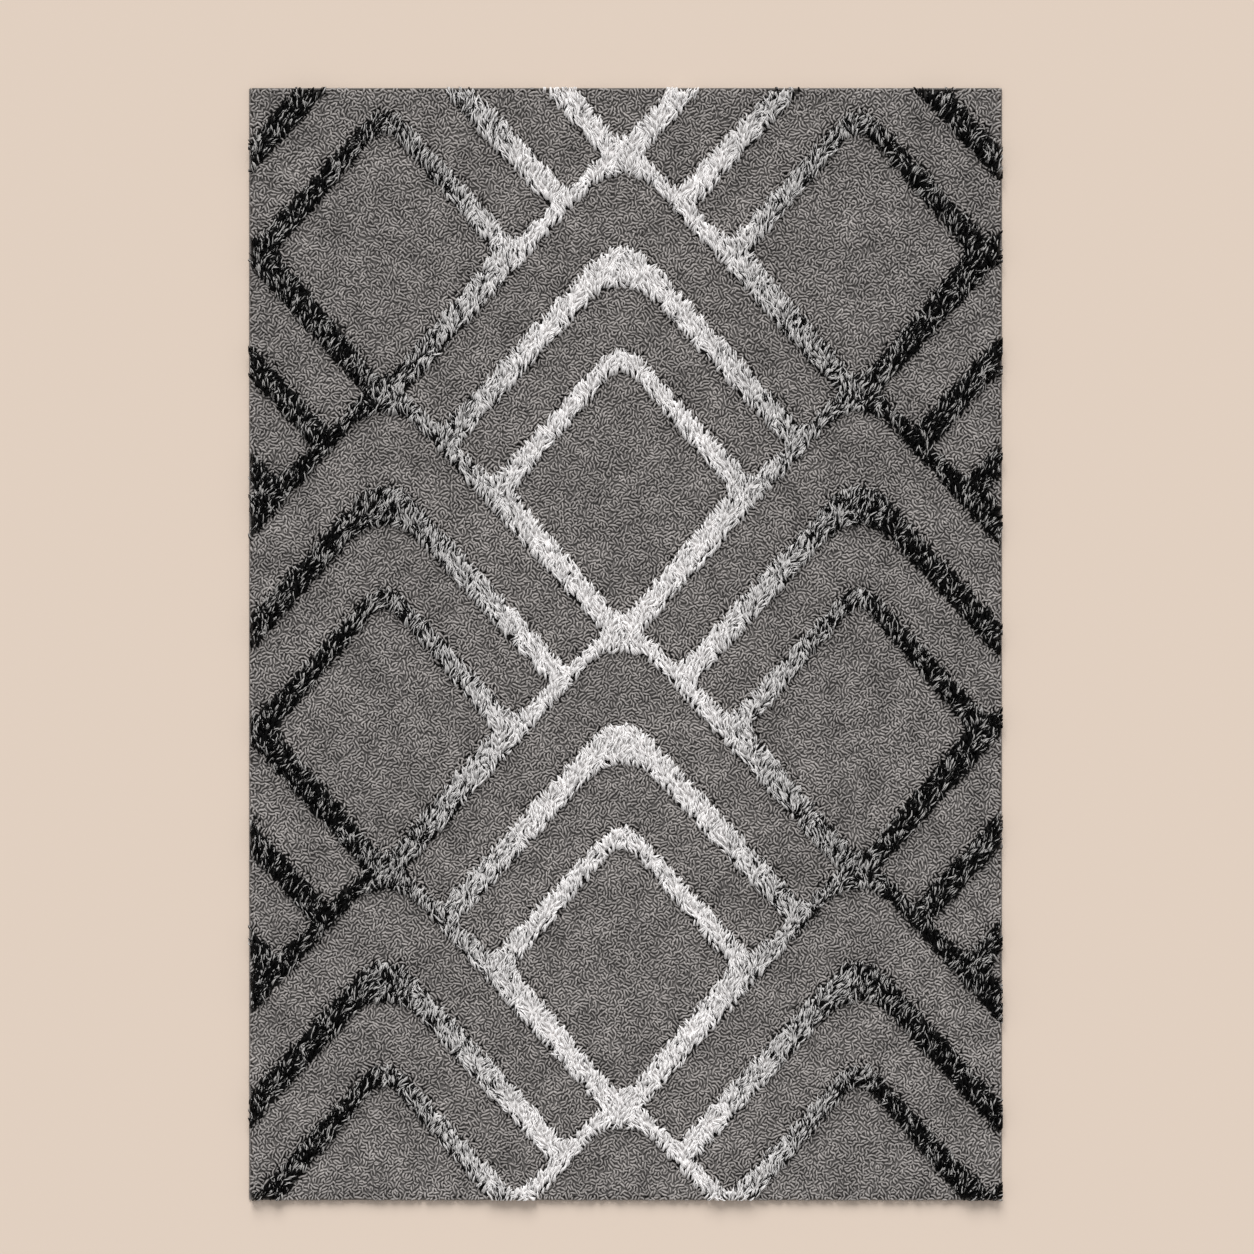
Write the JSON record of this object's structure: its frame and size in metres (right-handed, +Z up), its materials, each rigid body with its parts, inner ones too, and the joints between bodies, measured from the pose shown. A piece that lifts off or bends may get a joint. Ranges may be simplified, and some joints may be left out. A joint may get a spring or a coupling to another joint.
{
  "type": "area rug",
  "caption": "Rectangular area rug with low grey pile and a raised white-to-black pattern of overlapping diamonds and chevrons on a woven, latex-coated base.",
  "frame": {"origin": "middle of the rug's underside, on the floor", "axes": "+X across the rug to the right, +Y along the rug towards the head end, where the chevrons point, +Z up out of the pile"},
  "size_m": [1.6, 2.362, 0.0255],
  "materials": {
    "secondary_backing": "open plain-weave jute-look scrim, natural tan",
    "latex": "pale latex coat, matt",
    "ground_cloth": "woven polypropylene ground cloth, warm grey",
    "serging_yarn": "dense overcast dark grey yarn",
    "edge_cord": "twisted cotton filler cord",
    "hem_tape": "dark grey twill tape, sewn",
    "grey_pile": "low cut pile of fine curled polyester yarn, matt, warm mid grey",
    "black_pile": "raised pile of black glossy fibre with a few off-white ones",
    "mixed_pile": "raised pile of off-white and black fibres mixed",
    "white_pile": "raised pile of straight glossy polyester fibre, off-white"
  },
  "bodies": {
    "root": {"secondary_backing": "secondary_backing", "latex_coat": "latex", "ground_cloth": "ground_cloth", "serging_left": "serging_yarn", "edge_cord_left": "edge_cord", "serging_right": "serging_yarn", "edge_cord_right": "edge_cord", "hem_tape_head": "hem_tape", "hem_tape_foot": "hem_tape", "ground_pile": "grey_pile", "outer_chevron_far_left_2": "black_pile", "outer_chevron_far_left_3": "black_pile", "outer_chevron_left_1": "mixed_pile", "outer_chevron_left_1_arm_2": "mixed_pile", "outer_chevron_left_2": "mixed_pile", "outer_chevron_left_3": "mixed_pile", "outer_chevron_centre_2": "white_pile", "outer_chevron_centre_3": "white_pile", "outer_chevron_right_1": "mixed_pile", "outer_chevron_right_1_arm_2": "mixed_pile", "outer_chevron_right_2": "mixed_pile", "outer_chevron_right_3": "mixed_pile", "outer_chevron_far_right_2": "black_pile", "outer_chevron_far_right_3": "black_pile", "inner_chevron_far_left_2": "black_pile", "inner_chevron_far_left_3": "black_pile", "inner_chevron_left_1": "mixed_pile", "inner_chevron_left_2": "mixed_pile", "inner_chevron_left_3": "mixed_pile", "inner_chevron_centre_2": "white_pile", "inner_chevron_centre_3": "white_pile", "inner_chevron_right_1": "mixed_pile", "inner_chevron_right_2": "mixed_pile", "inner_chevron_right_3": "mixed_pile", "inner_chevron_far_right_2": "black_pile", "inner_chevron_far_right_3": "black_pile", "lattice_run_01": "white_pile", "lattice_run_02": "white_pile", "lattice_run_03": "black_pile", "lattice_run_04": "white_pile", "lattice_run_05": "white_pile", "lattice_run_06": "black_pile", "lattice_run_07": "black_pile", "lattice_run_08": "white_pile", "lattice_run_09": "white_pile", "lattice_run_10": "black_pile", "lattice_run_11": "black_pile", "lattice_run_12": "white_pile", "lattice_run_13": "white_pile", "lattice_run_14": "black_pile", "lattice_run_15": "black_pile", "lattice_run_16": "white_pile", "lattice_run_17": "white_pile", "lattice_run_18": "black_pile", "lattice_run_19": "black_pile", "lattice_run_20": "white_pile", "lattice_run_21": "white_pile", "lattice_run_22": "black_pile"}
  },
  "joints": []
}
